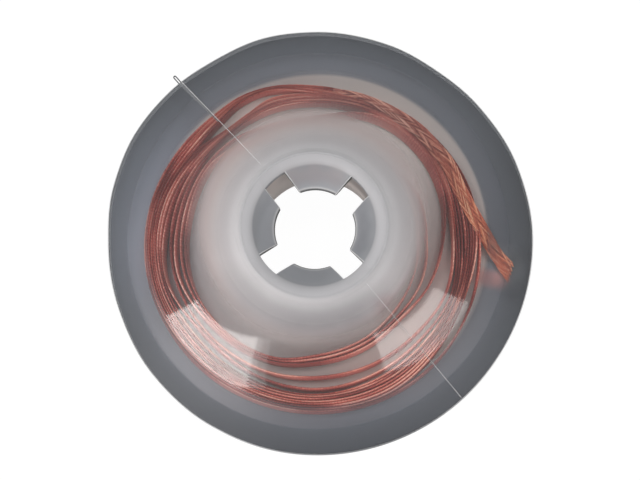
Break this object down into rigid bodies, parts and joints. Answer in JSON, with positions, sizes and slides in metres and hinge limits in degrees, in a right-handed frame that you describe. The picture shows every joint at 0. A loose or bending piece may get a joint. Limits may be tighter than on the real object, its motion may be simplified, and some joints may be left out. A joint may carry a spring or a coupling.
{
  "type": "desoldering braid bobbin",
  "caption": "Shrink-wrapped translucent bobbin of copper desoldering braid: two snapped shells with a petalled hub hole round a turning core and its flat winding.",
  "frame": {"origin": "centre of the hub bore, in the plane of the flat rear face", "axes": "+Z along the hub axis, out of the front boss; +X to the right and +Y up as seen from the front, with the braid's tail pointing to +X and slightly down"},
  "size_m": [0.0562, 0.0562, 0.0131],
  "materials": {
    "front_plastic": "smoky translucent moulded plastic",
    "rear_plastic": "smoky translucent moulded plastic",
    "core_plastic": "milky moulded plastic",
    "copper_braid": "bare woven copper",
    "film": "clear shrink film"
  },
  "bodies": {
    "case": {"rear_shell": "rear_plastic", "front_shell": "front_plastic", "shrink_film": "film"},
    "winding": {"winding_core": "core_plastic", "braid_coil": "copper_braid", "braid_tail": "copper_braid"}
  },
  "joints": [
    {"name": "winding_turn", "type": "hinge", "parent": "case", "child": "winding", "pos_m": [0, 0, 0], "axis": [0, 0, 1], "continuous": true}
  ]
}
